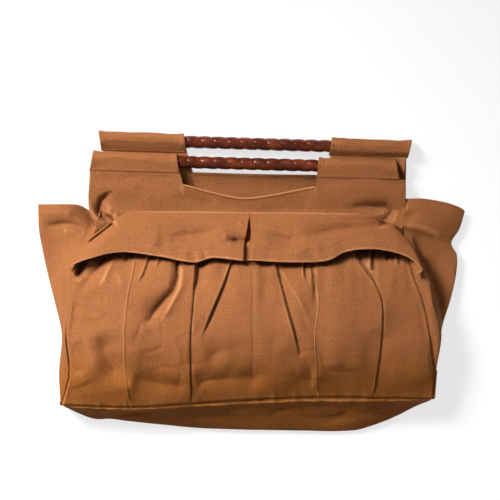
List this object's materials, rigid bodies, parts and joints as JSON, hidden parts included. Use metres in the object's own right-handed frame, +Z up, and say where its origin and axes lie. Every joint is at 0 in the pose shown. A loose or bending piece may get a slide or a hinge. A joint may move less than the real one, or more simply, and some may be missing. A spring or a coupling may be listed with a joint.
{
  "type": "canvas handbag",
  "caption": "Gathered canvas handbag with box pleats, a hemmed front flap, folded side gussets and straight leather-wound rod handles, lying on its back.",
  "frame": {"origin": "middle of the bag's outline, on the surface it lies on", "axes": "+X across the bag to the right seen from its front, +Y from the base to the handles, +Z up from the back to the front"},
  "size_m": [0.4695, 0.3311, 0.069],
  "materials": {
    "canvas": "plain-woven cotton canvas, matte",
    "handle_leather": "polished dark brown leather strip",
    "rod_wood": "plain sanded wood"
  },
  "bodies": {
    "root": {"front_panel": "canvas", "back_panel": "canvas", "gusset_left": "canvas", "gusset_right": "canvas", "base_panel": "canvas", "front_flap": "canvas", "front_yoke": "canvas", "rear_yoke": "canvas", "front_rod": "rod_wood", "rear_rod": "rod_wood", "front_wrap": "handle_leather", "rear_wrap": "handle_leather"}
  },
  "joints": []
}
